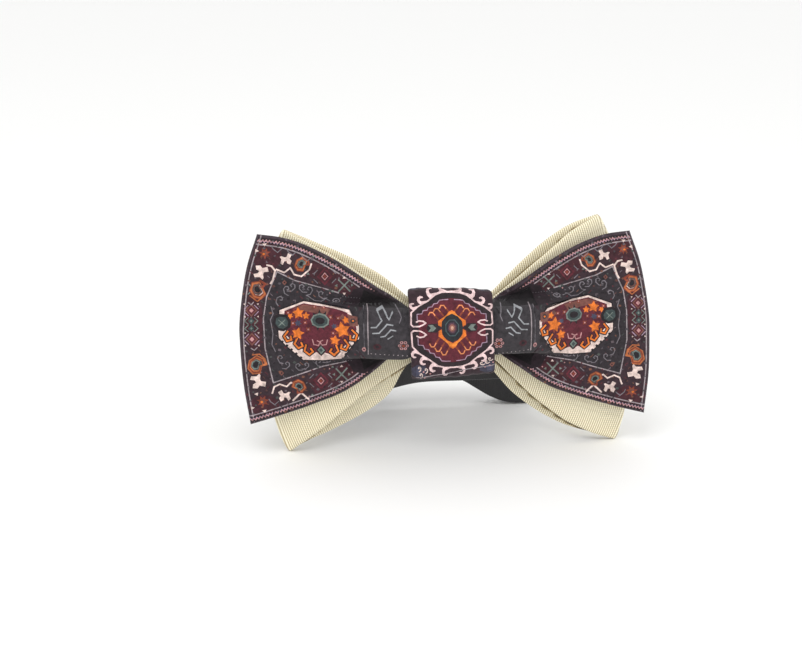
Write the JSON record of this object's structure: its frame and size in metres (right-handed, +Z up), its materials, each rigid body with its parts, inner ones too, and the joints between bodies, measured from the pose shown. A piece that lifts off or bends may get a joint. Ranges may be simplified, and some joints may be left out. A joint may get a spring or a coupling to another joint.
{
  "type": "bow tie",
  "caption": "Pre-tied double bow tie: printed front bow, ribbed cream rear bow, wrapped knot and a folded adjustable neck strap with slider, hook and eye.",
  "frame": {"origin": "middle of the base, on the surface that the bow tie stands on", "axes": "+X along the bow to the wearer's left, +Y towards the back, +Z up"},
  "size_m": [0.1204, 0.0574, 0.0682],
  "materials": {
    "print_fabric": "printed matt twill",
    "backing_fabric": "plain dark twill",
    "ribbed_fabric": "ribbed cream weave",
    "interlining": "stiff felted white",
    "thread": "twisted dark thread",
    "strap_satin": "black satin ribbon",
    "hardware_metal": "dark nickel plate"
  },
  "bodies": {
    "bow": {"front_bow_face": "print_fabric", "front_bow_interlining": "interlining", "front_bow_back": "backing_fabric", "front_bow_seam_thread": "thread", "pleat_tack_stitches": "thread", "rear_bow_outer_ply": "ribbed_fabric", "rear_bow_interlining": "interlining", "rear_bow_inner_ply": "ribbed_fabric", "rear_bow_join_stitches": "thread", "centre_binding_thread": "thread", "knot_band": "print_fabric", "knot_lining": "interlining", "knot_stitches": "thread", "neck_strap": "strap_satin", "strap_return_ply": "strap_satin", "hook_end_stitches": "thread"},
    "slider": {"slider": "hardware_metal", "slider_end_stitches": "thread"},
    "hook": {"hook": "hardware_metal"},
    "eye": {"eye": "hardware_metal"}
  },
  "joints": [
    {"name": "slider_slide", "type": "slide", "parent": "bow", "child": "slider", "axis": [-1, 0, 0], "range_m": [-0.009, 0.009], "deforming": ["strap_return_ply"]},
    {"name": "hook_swing", "type": "hinge", "parent": "bow", "child": "hook", "pos_m": [-0.008, 0.00462, 0.0325], "axis": [0, 0, 1], "range_deg": [-25, 60]},
    {"name": "eye_swing", "type": "hinge", "parent": "bow", "child": "eye", "pos_m": [-0.036, 0.02622, 0.0166], "axis": [0, 0, 1], "range_deg": [-60, 30]}
  ]
}
